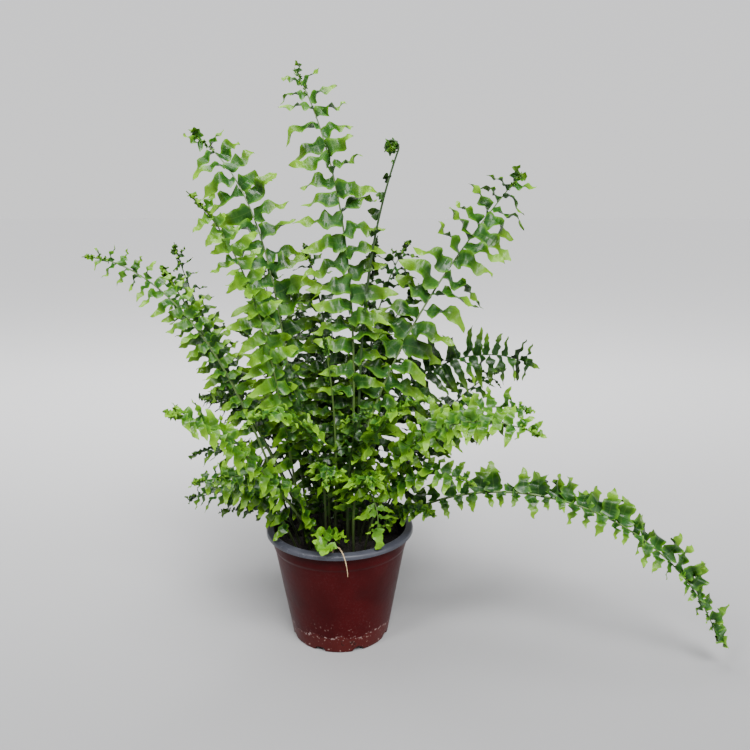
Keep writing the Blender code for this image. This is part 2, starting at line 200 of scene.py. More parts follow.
def blend(tree, factor, a, b):
    """A colour mixed from a to b by a factor, where each colour is a socket or an (r, g, b)."""
    node = tree.nodes.new("ShaderNodeMix")
    node.data_type = "RGBA"
    tree.links.new(factor, node.inputs["Factor"])
    for key, value in ((6, a), (7, b)):
        if isinstance(value, tuple):
            node.inputs[key].default_value = (*value, 1)
        else:
            tree.links.new(value, node.inputs[key])
    return node.outputs[2]


def relief(tree, shader, height, depth):
    """A bump of a height socket, at so many metres from its lowest to its highest."""
    node = tree.nodes.new("ShaderNodeBump")
    node.inputs["Strength"].default_value = 1
    node.inputs["Distance"].default_value = depth
    tree.links.new(height, node.inputs["Height"])
    tree.links.new(node.outputs["Normal"], shader.inputs["Normal"])


def part_of(tree, where, axis):
    """The X, Y or Z of a set of coordinates."""
    split = tree.nodes.new("ShaderNodeSeparateXYZ")
    tree.links.new(where, split.inputs[0])
    return split.outputs[axis]


RED_BROWN = ((0.031, 0.0008, 0.0014), (0.048, 0.0017, 0.0025))
FOOT_RED = (0.085, 0.015, 0.013)
HARD_WATER = (0.42, 0.30, 0.28)
CRUMBS = (0.36, 0.24, 0.21)
SOIL = (0.018, 0.010, 0.008)
DUST = (0.30, 0.20, 0.19)
SLATE = ((0.030, 0.032, 0.042), (0.056, 0.059, 0.076))
PAINTED_INSIDE_SHADE = (0.006, 0.006, 0.007)
RUBBED = (0.34, 0.35, 0.38)


def pot_outside():
    """Red-brown plastic: dusty, with a broken white line that hard water left above the base."""
    made, tree, shader, where = nodes_for("red-brown plastic")
    z = part_of(tree, where, "Z")
    cloud = noise(tree, where, 38, 4)
    wander = band(tree, noise(tree, where, 130, 5, 0.6), 0.3, 0.7, -0.002, 0.002)
    edge = arithmetic(tree, "ADD", z, wander)
    colour = blend(tree, band(tree, cloud, 0.3, 0.7), *RED_BROWN)
    colour = blend(tree, band(tree, edge, 0.0115, 0.0095, 0, 0.55), colour, FOOT_RED)
    line = both(tree, band(tree, edge, 0.0098, 0.0107), band(tree, edge, 0.0118, 0.0108))
    broken = band(tree, noise(tree, where, 420, 4, 0.65), 0.47, 0.6, 0, 0.75)
    colour = blend(tree, both(tree, line, broken), colour, HARD_WATER)
    low = band(tree, z, 0.026, 0.006)
    crumbs = band(tree, noise(tree, where, 520, 2), 0.66, 0.7, 0, 0.6)
    colour = blend(tree, both(tree, low, crumbs), colour, CRUMBS)
    soil = band(tree, noise(tree, where, 95, 5, 0.7), 0.62, 0.68, 0, 0.8)
    colour = blend(tree, both(tree, low, soil), colour, SOIL)
    grain = band(tree, noise(tree, where, 900, 3), 0.5, 0.75)
    dust = both(tree, grain, band(tree, cloud, 0.35, 0.7, 0.0, 0.04))
    colour = blend(tree, dust, colour, DUST)
    tree.links.new(colour, shader.inputs["Base Color"])
    shader.inputs["Specular IOR Level"].default_value = 0.1
    tree.links.new(band(tree, cloud, 0.25, 0.75, 0.30, 0.42), shader.inputs["Roughness"])
    relief(tree, shader, noise(tree, where, 260, 5, 0.6), 0.00012)
    return made


def pot_inside():
    """Slate grey plastic with rubbed spots on the lip, and painted shade that makes it almost black
    below the rim.
    """
    made, tree, shader, where = nodes_for("slate grey plastic")
    cloud = noise(tree, where, 60, 4)
    z = part_of(tree, where, "Z")
    colour = blend(tree, band(tree, cloud, 0.3, 0.7), *SLATE)
    # Painted shade: below the rim the inside darkens to almost black.
    colour = blend(tree, band(tree, z, 0.0685, 0.064), colour, PAINTED_INSIDE_SHADE)
    spots = band(tree, noise(tree, where, 700, 2), 0.66, 0.72, 0, 0.15)
    colour = blend(tree, both(tree, spots, band(tree, z, 0.06, 0.07)), colour, RUBBED)
    tree.links.new(colour, shader.inputs["Base Color"])
    shader.inputs["Specular IOR Level"].default_value = 0.35
    tree.links.new(band(tree, cloud, 0.2, 0.8, 0.30, 0.46), shader.inputs["Roughness"])
    relief(tree, shader, noise(tree, where, 320, 5), 0.00010)
    return made


shoulder = POT_HEIGHT - SHOULDER_DROP
lip_foot = POT_HEIGHT - LIP_DROP
# Corners of the profile as radius and height, up the inside, over the lip and down the outside.
pot_corners = [
    (POLE, POT_WALL),
    (inner_radius(1.8 * MM), POT_WALL),
    (inner_radius(shoulder), shoulder),
    (WALL_TOP - POT_WALL, shoulder + 2 * SHOULDER_STEP),
    (WALL_TOP - POT_WALL / 2, POT_HEIGHT),
    (RIM_RADIUS, POT_HEIGHT - 0.9 * MM),
    (RIM_RADIUS + 0.1 * MM, lip_foot),
    (RIM_RADIUS - POT_WALL, lip_foot),
    (RIM_RADIUS - POT_WALL - 0.5 * MM, POT_HEIGHT - 1.7 * MM),
    (WALL_TOP + 0.3 * MM, POT_HEIGHT - 1.3 * MM),
    (WALL_TOP, shoulder + SHOULDER_STEP),
    (WALL_TOP - SHOULDER_STEP, shoulder - SHOULDER_STEP),
    (BASE_RADIUS, 0),
    (POLE, 0),
]
pot_cuts = np.array([1.0, 0.8, 0.8, 1.0, 1.3, 0.35, 0.35, 0.4, 0.9, 0.7, 0.7, 1.0]) * MM
profile = filled(rounded(pot_corners, pot_cuts), 2.2 * MM)
lip_edge = np.argmax(np.where(profile[:, 1] <= lip_foot + 0.05 * MM, profile[:, 0], 0))
turn = np.arange(POT_TURN) * 2 * math.pi / POT_TURN
pot_radius = np.repeat(profile[:, :1], POT_TURN, axis=1)
pot_level = np.repeat(profile[:, 1:], POT_TURN, axis=1)
flex = np.sin(2 * turn + 0.6) * RIM_FLEX[0] + np.sin(3 * turn + 2.1) * RIM_FLEX[1]
pot_radius += flex * MM * (pot_level / POT_HEIGHT) ** 2
from_dent = ((turn - DENT_TURN) % (2 * math.pi) + math.pi) % (2 * math.pi) - math.pi
dent = np.exp(-(from_dent**2) / DENT_SWEEP)
dent = dent * np.exp(-(((pot_level - DENT_LEVEL) / DENT_HEIGHT) ** 2))
pot_radius -= DENT_DEPTH * dent
outside = np.arange(len(profile))[:, None] > lip_edge
stack_line = np.exp(-(((pot_level - (shoulder - STACK_LINE_DROP)) / STACK_LINE_WIDTH) ** 2))
pot_radius += STACK_LINE_DEPTH * stack_line * outside
points, quads, first, last = turned_grid(pot_radius, pot_level, turn)
row = np.repeat(np.arange(len(profile) - 1), POT_TURN)
slots = [(row < lip_edge).astype(int), np.ones(POT_TURN, int), np.zeros(POT_TURN, int)]
faces = turned_inside_out(quads, first, last)
looks = [pot_outside(), pot_inside()]
pot = mesh_piece("pot_shell", points, faces, looks, np.concatenate(slots), sharp=50)

NOTCH_COUNT = 8
NOTCH_RADIUS = 3.5 * MM
NOTCH_HEIGHT = 3 * MM
NOTCH_SIDES = 24
cutters = []
for i in range(NOTCH_COUNT):
    angle = 2 * math.pi * (i + 0.5) / NOTCH_COUNT
    round_it = np.arange(NOTCH_SIDES) * 2 * math.pi / NOTCH_SIDES
    side = np.array([-math.sin(angle), math.cos(angle), 0]) * NOTCH_RADIUS
    wide = np.outer(np.cos(round_it), side) + np.outer(np.sin(round_it), [0, 0, NOTCH_HEIGHT])
    away = np.array([math.cos(angle), math.sin(angle), 0])
    inner = wide + away * (BASE_RADIUS - NOTCH_RADIUS)
    outer = wide + away * (BASE_RADIUS + NOTCH_RADIUS)
    a = np.arange(NOTCH_SIDES)
    b = (a + 1) % NOTCH_SIDES
    sides = np.stack([a, b, b + NOTCH_SIDES, a + NOTCH_SIDES], -1).tolist()
    faces = [*sides, a[::-1].tolist(), (a + NOTCH_SIDES).tolist()]
    cutter = mesh_piece(f"notch_cut_{i}", np.vstack([inner, outer]), faces, [])
    cut = pot.modifiers.new(cutter.name, "BOOLEAN")
    cut.operation = "DIFFERENCE"
    cut.object = cutter
    cutters.append(cutter)
graph = bpy.context.evaluated_depsgraph_get()
cut_mesh = bpy.data.meshes.new_from_object(pot.evaluated_get(graph))
pot.modifiers.clear()
pot.data = cut_mesh
for cutter in cutters:
    bpy.data.objects.remove(cutter, do_unlink=True)
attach(pot, "root")
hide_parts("pot")


# ---- Peat ----------------------------------------------------------------------------------------
# Fine dark peat with bits of bark and fibre, pressed into the pot by hand and slightly mounded. It
# stands 9 mm below the rim, and its top dries to crumbs.

PEAT_DROP = 9 * MM
MOUND = 1.5 * MM
PEAT_GAP = 0.3 * MM  # to the pot
PEAT_TURN = 160
PEAT_RINGS = 56
LUMPS = (9 * MM, 4 * MM, 1.9 * MM, 1.1 * MM)
LUMP_DEPTH = 2.6 * MM
LUMP_TOP = 1.2 * MM  # the mound rises no further than this above its smooth shape
PEAT_BROWN = ((0.0022, 0.0016, 0.0013), (0.016, 0.010, 0.007))
FIBRE = (0.16, 0.11, 0.07)
MOSS = (0.022, 0.021, 0.008)


def peat_height(radius):
    """The level of the mound: highest on the axis, falling with the square of the radius."""
    return POT_HEIGHT - PEAT_DROP - MOUND * (radius / inner_radius(POT_HEIGHT - PEAT_DROP)) ** 2


def crumble(x, y, seed, sizes, depth):
    """Lumps: for each size, five products of sines along two axes turned at random, weighted by the
    size and added up."""
    rng = np.random.default_rng(seed)
    total = np.zeros_like(x)
    for size in sizes:
        for _ in range(5):
            a = rng.uniform(0, 2 * math.pi)
            p, q = rng.uniform(0, 2 * math.pi, 2)
            s = x * math.cos(a) + y * math.sin(a)
            t = y * math.cos(a) - x * math.sin(a)
            total += size * np.sin(s / size * 2.4 + p) * np.sin(t / size * 2.1 + q)
    return depth * total / sum(sizes)


def peat_look():
    """Near-black crumbs with brown fibre and a little green where moss starts."""
    made, tree, shader, where = nodes_for("dark peat")
    crumbs = noise(tree, where, 700, 6, 0.7)
    fibres = band(tree, noise(tree, where, 1500, 2), 0.68, 0.74, 0, 0.5)
    moss = band(tree, noise(tree, where, 150, 4), 0.6, 0.72, 0, 0.35)
    colour = blend(tree, band(tree, crumbs, 0.35, 0.7), *PEAT_BROWN)
    colour = blend(tree, fibres, colour, FIBRE)
    colour = blend(tree, moss, colour, MOSS)
    tree.links.new(colour, shader.inputs["Base Color"])
    shader.inputs["Roughness"].default_value = 0.95
    relief(tree, shader, crumbs, 0.0009)
    return made


edge_radius = inner_radius(shoulder) - PEAT_GAP
top_rows = np.linspace(0.02, 1, PEAT_RINGS)[:, None] * edge_radius * np.ones(PEAT_TURN)
turn = np.arange(PEAT_TURN) * 2 * math.pi / PEAT_TURN
x, y = top_rows * np.cos(turn), top_rows * np.sin(turn)
rough = crumble(x, y, 3, LUMPS, LUMP_DEPTH)
level = peat_height(top_rows) + np.minimum(rough, LUMP_TOP)
foot_radius = inner_radius(2 * MM)
side_rows = np.array(
    [
        (edge_radius - 0.1 * MM, shoulder - 2 * MM),
        (foot_radius - PEAT_GAP, 2.1 * MM),
        (foot_radius - 1.3 * MM, POT_WALL + PEAT_GAP),
        (POLE, POT_WALL + PEAT_GAP),
    ]
)
peat_radius = np.vstack([top_rows, np.repeat(side_rows[:, :1], PEAT_TURN, axis=1)])
peat_level = np.vstack([level, np.repeat(side_rows[:, 1:], PEAT_TURN, axis=1)])
points, quads, first, last = turned_grid(peat_radius, peat_level, turn)
faces = turned_inside_out(quads, first, last)
peat = mesh_piece("peat_mound", points, faces, [peat_look()], sharp=80)
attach(peat, "root")
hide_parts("peat")


# ---- Fronds --------------------------------------------------------------------------------------
# Fronds that stand in the peat, each one a stem with leaflets left and right in turn. A leaflet is a
# thin wavy blade with a midrib, broad and eared at its base and hooked at its tip, and the youngest
# are still rolled up.


class Frond(NamedTuple):
    """Angles in degrees, anticlockwise from +X for foot and heading; lengths in millimetres."""

    name: str
    foot: float  # where round the pot's axis it stands
    out: float  # and how far from the axis
    heading: float  # the way it leans
    rise: float  # elevation at the peat
    fall: float  # elevation at the tip
    bend: float  # how late it arches
    swing: float  # how far the heading has turned at the tip
    length: float
    roll: float  # turn of the blade about its stem
    bare: float  # share of the length below the first leaflet
    pairs: int
    reach: float  # the longest leaflet
    # Low light on the back, crown and collar fronds is painted shade, besides their darker green.
    light: float = 0.5  # from dark green, 0, to lime, 1
    slim: float = 0.34  # a leaflet's width to its length
    rolled: float = 0.1  # share of the leaflets that are still rolled up
    tight: float = 6.0  # and how tightly, in radians
    face: float = 30  # how far a leaflet's upper side turns towards the frond's tip
    lobes: float = 0.12  # depth of the waves along a leaflet's margins, to its width
    crest: float = 0.35  # the leaflet at the very tip, to the longest
    lower: float = 1.0  # the leaflets on one side, to those on the other
    coil: bool = False
    width: float = 1.9  # of the stem, before STEM_SHARE


# The first line of each is its stem: name, foot, out, heading, rise, fall, bend, swing and length.
# The second is its leaflets, from roll on.
# The back, crown and collar fronds have a low light: painted shade of the crowded middle.
FRONDS = [
    Frond("tall_centre", 10, 7, 150, 92, 40, 3.0, -30, 295,
          -50, 0.30, 17, 28, 0.52, 0.38, 0.07, 2.5, 30, 0.1, 0.12),
    Frond("tall_left", 168, 20, 140, 82, 20, 4.0, 10, 270,
          -45, 0.25, 17, 31, 0.46, 0.38, 0.08, 4.0, 30, 0.1, 0),
    Frond("tall_right", -50, 9, 20, 92, 30, 0.8, 35, 275,
          55, 0.23, 17, 31, 0.46, 0.38, 0.1, 4.0, 30, 0.1, 0),
    Frond("fiddlehead", -6, 11.6, -8, 90, 70, 2.5, 5, 233,
          0, 0.54, 5, 12, 0.16, 0.5, 0.5, 5.0, 20, 0.1, 0.0, 1.0, True, 2.6),
    Frond("young_dark", 17, 13, 40, 91, 72, 2.5, 0, 185,
          20, 0.59, 4, 12, 0.10, 0.5, 0.4, width=2.4),
    Frond("left", 200, 22, 215, 81, 40, 4.0, 0, 222,
          -75, 0.23, 18, 21, 0.72, 0.38, 0.08, 6.0, 30, 0.1, crest=0.15),
    Frond("left_inner", 150, 21, 160, 60, 50, 2.0, -40, 212,
          -60, 0.34, 15, 16, 0.23, 0.42, 0.10),
    Frond("left_outer", 192, 17, 178, 66, 40, 2.5, -45, 195,
          -60, 0.34, 15, 18, 0.45, 0.42, 0.14),
    Frond("far_left", 205, 26, 177, 71, -3, 3.0, -16, 230,
          -60, 0.37, 17, 16, 0.66, 0.4, 0.1, 6.0, 30, 0.12, crest=0.2),
    Frond("left_front", 228, 16, 225, 55, 15, 2.5, 30, 162,
          -50, 0.29, 16, 16, 0.72, 0.38, 0.12, 5.0, 25, 0.14, 0.5),
    Frond("left_low", 212, 30, 203, 70, -30, 2.0, -30, 85,
          -30, 0.20, 11, 16, 0.46, 0.4, 0.12, 5.0, 20, 0.14),
    Frond("left_lowest", 183, 30, 180, 60, -40, 1.3, -30, 80,
          -30, 0.20, 10, 15, 0.21, 0.4, 0.12, 5.0, 20, 0.14),
    Frond("back_left", 125, 16, 130, 68, 25, 2.0, -35, 205,
          -10, 0.25, 16, 19, 0.20),
    Frond("back_small", 75, 12, 120, 88, 15, 1.5, 0, 180,
          0, 0.33, 13, 14, 0.20, 0.36, 0.2),
    Frond("bud", 250, 9, 240, 95, 70, 1.7, 5, 130,
          0, 0.49, 5, 7, 0.45, 0.4, 0.5),
    Frond("back_right", 55, 20, 60, 90, 20, 2.0, 5, 205,
          15, 0.29, 15, 20, 0.22, 0.36, 0.15),
    Frond("right_dark", 30, 18, 35, 96, -24, 1.2, -38, 185,
          75, 0.29, 20, 24, 0.2, 0.26, 0.0, 3.0, 10, 0.15, 0.5),
    Frond("right_inner", 22, 24, 30, 62, 0, 1.7, 15, 150,
          20, 0.29, 13, 18, 0.20, 0.36, 0.15),
    Frond("right", 6, 16, 5, 74, -25, 1.5, 15, 148,
          40, 0.25, 15, 19, 0.62, 0.38, 0.05, 5.0, 15, 0.12, 0.4),
    Frond("right_front", -35, 15, -35, 78, -15, 1.3, -5, 165,
          35, 0.25, 17, 18, 0.68, 0.38, 0.05, 5.0, 15, 0.12, 0.4),
    Frond("long_right", -15, 20, -15, 52, -70, 0.9, 15, 254,
          35, 0.15, 26, 23, 0.42, 0.46, 0.0, 4.0, 10, 0.24, 0.6, 0.6),
    Frond("front_right", 207, 2, -54, 98, -114, 1.6, 0, 92,
          10, 0.28, 13, 20, 1.0, 0.2, 0.0, 6.0, 10, 0.45, 0.9),
    Frond("front_low", 265, 18, 262, 65, -30, 1.5, 0, 38,
          0, 0.25, 3, 12, 0.85, 0.75, 0.0, 6.0, 20, 0.15, 0.7),
    Frond("front_left", 240, 17, 240, 95, -20, 1.7, 0, 140,
          -20, 0.33, 12, 18, 0.66, 0.38, 0.15, 5.0, 25, 0.12),
    Frond("front_broad", -48, 13, -50, 88, 15, 1.6, 10, 125,
          20, 0.29, 10, 21, 0.62, 0.42, 0.05, 5.0, 10, 0.12),
    Frond("back_arch", 80, 22, 75, 70, -10, 1.5, 0, 195,
          5, 0.16, 18, 24, 0.14),
    Frond("back_tall", 100, 23, 105, 72, -10, 1.6, 0, 195,
          0, 0.16, 18, 24, 0.13),
    Frond("back_low", 90, 29, 90, 60, -40, 1.3, 0, 130,
          0, 0.20, 12, 20, 0.18),
    Frond("back_far_left", 140, 26, 130, 58, -25, 1.5, 10, 155,
          -10, 0.25, 15, 20, 0.14),
    Frond("back_low_left", 150, 29, 150, 60, -35, 1.3, 0, 110,
          -10, 0.20, 12, 17, 0.14),
    Frond("back_low_right", 45, 29, 50, 58, -30, 1.3, 0, 145,
          10, 0.20, 13, 19, 0.14),
    Frond("middle", -72, 16, 285, 86, 20, 2.0, 0, 115,
          0, 0.16, 12, 15, 0.23, 0.4, 0.1, 5.0, 20, 0.14),
    Frond("front_rim", -30, 25, -25, 74, -20, 1.4, 0, 52,
          15, 0.34, 9, 10, 0.45, 0.5, 0.1),
    Frond("left_short", 215, 22, 195, 84, 25, 1.4, 0, 46,
          -15, 0.12, 9, 12, 0.23, 0.4, 0.1, 5.0, 20, 0.14),
    Frond("crown_left", 180, 10, 190, 88, 30, 2.0, 0, 150,
          -40, 0.15, 15, 17, 0.23, 0.38, 0.1),
    Frond("crown_right", 56, 9, 25, 88, 40, 2.0, 0, 165,
          30, 0.16, 15, 18, 0.25, 0.38, 0.1),
    Frond("crown_centre", 135, 4, 120, 92, 50, 2.0, 0, 185,
          -20, 0.25, 15, 19, 0.20, 0.36, 0.1),
    Frond("collar_front", 207, 7, 272, 90, -25, 1.5, 0, 95,
          -10, 0.12, 11, 15, 0.4, 0.4, 0.05, 5.0, 20, 0.14),
    Frond("collar_front_left", 235, 24, 215, 84, -15, 1.4, 0, 95,
          -20, 0.11, 11, 15, 0.5, 0.4, 0.05, 5.0, 20, 0.14),
    Frond("collar_left", 157, 13, 172, 86, -10, 1.6, 0, 125,
          -30, 0.12, 13, 17, 0.20, 0.4, 0.1),
    Frond("collar_back_left", 123, 24, 150, 75, -20, 1.5, 0, 130,
          -5, 0.10, 13, 19, 0.13, 0.38, 0.05),
    Frond("collar_back", 101, 16, 95, 88, 10, 1.8, 0, 165,
          0, 0.10, 16, 22, 0.13, 0.36, 0.05),
    Frond("collar_back_right", 64, 28, 65, 70, -25, 1.5, 0, 135,
          5, 0.10, 13, 19, 0.13, 0.38, 0.05),
    Frond("collar_right", 5, 25, 20, 72, -20, 1.5, 0, 120,
          20, 0.12, 13, 17, 0.22, 0.4, 0.1),
    Frond("collar_front_right", -47, 23, -30, 80, -20, 1.4, 0, 100,
          20, 0.32, 11, 16, 0.48, 0.4, 0.05, 5.0, 20, 0.14),
    Frond("collar_middle", -68, 24, -75, 94, -10, 1.6, 0, 82,
          5, 0.3, 10, 15, 0.6, 0.4, 0.05, 5.0, 20, 0.14),
]

STEPS = 60  # along a stem
ROOT_SHOWN = 4 * MM  # how far a stem goes down into the peat
COIL_STEPS = 30
COIL_RADIUS = 4.2 * MM
COIL_END_RADIUS = 1.5 * MM
COIL_TURNS = 1.6
STEM_SIDES = 8
STEM_SHARE = 0.78  # a stem's width, to that of its solid in the frame
STEM_DEPTH = 0.85  # a stem's thickness, to its width
GROOVE = 0.42  # height of the groove's floor above the stem's middle, to half its width
STEM_TAPER = 0.42  # a stem's width at its tip, to that at its foot
STEM_EVEN = 0.33  # share of its length over which a stem doesn't taper
STATIONS = 15  # along a leaflet
BLADE_THICKNESS = 0.5 * MM
FULL_THICKNESS_AT = 14 * MM  # shorter leaflets are thinner, down to the share below
THINNEST = 0.6
TIP_THINNER = 0.5
LEAST_WIDTH = 0.12 * MM  # of half a leaflet, at its two ends
EAR_SIZE = 0.22  # to the width of half a leaflet
EAR_AT = 0.12  # share of the leaflet's length
EAR_RUN = 0.07
EAR_SIDES = (1.0, 0.5)
TOOTH_RUN = 0.045
HOOK_FROM = 0.78  # share of a leaflet's length where its tip starts to hook


def frond_line(frond):
    """A stem's points with the unit vectors along it, to its right and out of its upper face. Its
    elevation goes from rise to fall as t^bend and its heading turns by swing as t^2, and the points
    are the running sum of those directions. A coil carries on as a spiral of falling radius."""
    t = (np.arange(STEPS) + 0.5) / STEPS
    rise = np.radians(frond.rise + (frond.fall - frond.rise) * t**frond.bend)
    head = np.radians(frond.heading + frond.swing * t**2)
    along = np.stack([np.cos(rise) * np.cos(head), np.cos(rise) * np.sin(head), np.sin(rise)], 1)
    foot, out = math.radians(frond.foot), frond.out * MM
    start = np.array([out * math.cos(foot), out * math.sin(foot), peat_height(out)])
    steps = np.cumsum(along, axis=0) * frond.length * MM / STEPS
    points = np.vstack([start - along[0] * ROOT_SHOWN, start, start + steps])
    along = np.vstack([along[0], along[0], along])
    head = np.concatenate([head[:1], head[:1], head])
    side = np.stack([np.sin(head), -np.cos(head), np.zeros_like(head)], 1)
    upper = np.cross(side, along)
    roll = math.radians(frond.roll)
    cos, sin = math.cos(roll), math.sin(roll)
    side, upper = side * cos - upper * sin, upper * cos + side * sin
    if frond.coil:
        share = (np.arange(COIL_STEPS) + 1)[:, None] / COIL_STEPS
        angle = 2 * math.pi * COIL_TURNS * share
        radius = COIL_RADIUS + (COIL_END_RADIUS - COIL_RADIUS) * share
        outward = along[-1] * np.sin(angle) - upper[-1] * np.cos(angle)
        centre = points[-1] + upper[-1] * COIL_RADIUS
        forward = along[-1] * np.cos(angle) + upper[-1] * np.sin(angle)
        points = np.vstack([points, centre + outward * radius])
        along, upper = np.vstack([along, forward]), np.vstack([upper, -outward])
        side = np.vstack([side, np.repeat(side[-1:], COIL_STEPS, axis=0)])
    return points, along, side, upper


def at(rows, index):
    """Rows read at whole and part indices, in a straight line between neighbours."""
    low = np.clip(index.astype(int), 0, len(rows) - 2)
    part = np.clip(index - low, 0, 1)[:, None]
    return rows[low] * (1 - part) + rows[low + 1] * part


def stem_tube(line, width, taper):
    """A stem: a ring of points round each point of the line, with a groove along its upper face. It
    keeps its width over its first part, then narrows evenly to taper times it."""
    points, along, side, upper = line
    share = np.linspace(0, 1, len(points))[:, None]
    half = width / 2 * (1 - (1 - taper) * np.clip((share - STEM_EVEN) / (1 - STEM_EVEN), 0, 1))
    angle = np.arange(STEM_SIDES) * 2 * math.pi / STEM_SIDES
    across, up = np.cos(angle), np.sin(angle) * STEM_DEPTH
    up = np.where(np.isclose(angle, math.pi / 2), GROOVE, up)
    ring = points[:, None] + (half * across)[..., None] * side[:, None]
    ring = ring + (half * up)[..., None] * upper[:, None]
    count = len(points)
    i, j = np.meshgrid(np.arange(count - 1), np.arange(STEM_SIDES), indexing="ij")
    k = (j + 1) % STEM_SIDES
    quads = np.stack([i, i, i + 1, i + 1], -1) * STEM_SIDES + np.stack([j, k, k, j], -1)
    base = np.arange(STEM_SIDES)[::-1]
    cap = np.arange(STEM_SIDES) + (count - 1) * STEM_SIDES
    round_it = np.tile(np.arange(STEM_SIDES) / STEM_SIDES, count)
    uv = np.stack([np.repeat(share[:, 0], STEM_SIDES), round_it], -1)
    return ring.reshape(-1, 3), [*quads.reshape(-1, 4).tolist(), base.tolist(), cap.tolist()], uv


def margins(rng, low, high, count):
    """A random value for each of the two margins of each leaflet."""
    return rng.uniform(low, high, (2, count, 1))


def leaf_outline(u, size, rng, slim, depth):
    """Half widths of a leaflet's two sides at the shares u of its length: a square root from the
    base, (1-u^1.8)^0.75 to the tip, an ear near the base that is bigger on one side, sine waves of
    its own along each margin, and one tooth near the tip."""
    count = len(size)
    base = np.sqrt(np.clip((u + 0.035) / 0.14, 0, 1))
    body = (1 - u**1.8) ** 0.75
    half = size[:, None] * slim / 2 * base * body
    waves = margins(rng, 2.6, 4.4, count)
    phase = margins(rng, 0, 1, count)
    wave = np.sin(2 * math.pi * (waves * u + phase))
    lobes = 1 + depth * margins(rng, 0.5, 1.3, count) * wave
    ear = EAR_SIZE * np.exp(-(((u - EAR_AT) / EAR_RUN) ** 2))
    tooth_at = margins(rng, 0.66, 0.86, count)
    tooth = margins(rng, 0, 0.4, count) * np.exp(-(((u - tooth_at) / TOOTH_RUN) ** 2))
    ears = np.array(EAR_SIDES)[:, None, None] * ear
    return half * (lobes + ears + tooth) + LEAST_WIDTH


def leaflets(base, out, along, upper, size, slim, rolled, tight, lobes, shade, rng):
    """Blades, one for each row given. The midrib is a running sum of directions whose pitch and yaw
    vary along it: waves, a droop, a hook at the tip, and a full roll where the leaflet is young. At
    each station a ring of four points, two margins and the midrib's top and bottom, is twisted about
    the midrib, and each margin is lifted by its own wave."""
    count = len(size)

    def spread(low, high):
        return rng.uniform(low, high, (count, 1))

    u = np.linspace(0, 1, STATIONS)
    young = rolled[:, None]
    calm = 1 - young
    wave = spread(0.2, 0.65) * np.sin(2 * math.pi * (spread(1.0, 1.7) * u + spread(0.85, 1.25)))
    pitch = spread(-0.1, 0.45) + calm * wave - spread(0.0, 0.7) * calm * u + young * tight * u
    hook = np.clip((u - HOOK_FROM) / (1 - HOOK_FROM), 0, 1) ** 2
    yaw = spread(-0.1, 0.3) + spread(-0.25, 0.35) * u
    yaw = yaw + spread(-1.6, 1.6) * hook * calm + 0.7 * young
    pitch = pitch + spread(-1.4, 0.8) * hook * calm
    twist = spread(-0.25, 0.25) + spread(-0.45, 0.45) * u
    twist = twist + spread(0, 0.4) * np.sin(2 * math.pi * (u + spread(0, 1)))
    level = np.cos(pitch)
    forward = np.stack([level * np.cos(yaw), level * np.sin(yaw), np.sin(pitch)], -1)
    flat = np.stack([-np.sin(yaw), np.cos(yaw), np.zeros_like(yaw)], -1)
    normal = np.cross(forward, flat)
    wide = flat * np.cos(twist)[..., None] + normal * np.sin(twist)[..., None]
    face = np.cross(forward, wide)
    step = forward * (size[:, None] / (STATIONS - 1))[..., None]
    middle = np.cumsum(step, axis=1) - step
    half = leaf_outline(u, size, rng, slim, lobes)
    ruffle = margins(rng, 0.25, 0.8, count)
    turns = margins(rng, 1.8, 3.0, count) * u
    ruffle = ruffle * np.sin(2 * math.pi * (turns + margins(rng, 0, 1, count)))
    lift = half * (margins(rng, -0.1, 0.3, count) + ruffle)
    thick = BLADE_THICKNESS / 2 * np.clip(size / FULL_THICKNESS_AT, THINNEST, 1)[:, None, None]
    thick = thick * (1 - TIP_THINNER * u)[None, :, None]
    ring = np.stack(
        [
            middle + wide * half[0][..., None] + face * lift[0][..., None],
            middle + face * thick,
            middle - wide * half[1][..., None] + face * lift[1][..., None],
            middle - face * thick,
        ],
        axis=2,
    )
    turn = np.stack([out, along, upper], axis=1)
    points = base[:, None, None] + np.einsum("nskc,ncd->nskd", ring, turn)
    sag = spread(0.02, 0.16) * size[:, None] * u**2 * calm
    points[..., 2] -= sag[..., None]
    j, k = np.meshgrid(np.arange(STATIONS - 1), np.arange(4), indexing="ij")
    n = (k + 1) % 4
    quads = np.stack([j * 4 + k, j * 4 + n, (j + 1) * 4 + n, (j + 1) * 4 + k], -1).reshape(-1, 4)
    tip = (STATIONS - 1) * 4
    quads = np.vstack([quads, [3, 2, 1, 0], [tip, tip + 1, tip + 2, tip + 3]])
    under = np.append(np.tile([0, 0, 1, 1], STATIONS - 1), [0, 0])
    faces = quads[None] + (np.arange(count) * STATIONS * 4)[:, None, None]
    mirrored = np.einsum("ij,ij->i", np.cross(out, along), upper) < 0
    faces[mirrored] = faces[mirrored][..., ::-1]
    uv = np.stack(np.broadcast_arrays(u[:, None], np.array([1.0, 0.5, 0.0, 0.5])), -1)
    uv = np.broadcast_to(uv, (count, STATIONS, 4, 2)).reshape(-1, 2)
    tone = np.repeat(shade, STATIONS * 4)
    return points.reshape(-1, 3), faces.reshape(-1, 4), np.tile(under, count), uv, tone


PEAT_CLEAR = 1.3 * MM
LIP_CLEAR = 0.5 * MM
LIP_FOOT = 37 * MM  # radius where a leaflet starts to climb from the peat to the lip
LIP_CLIMB = 3 * MM
PEAT_SHORE = 38 * MM  # the peat's level is read no further out than this
LIP_PAST = RIM_RADIUS + 0.6 * MM
NEVER_LIFTED = 40 * MM  # points below this hang outside the pot or stand in the peat


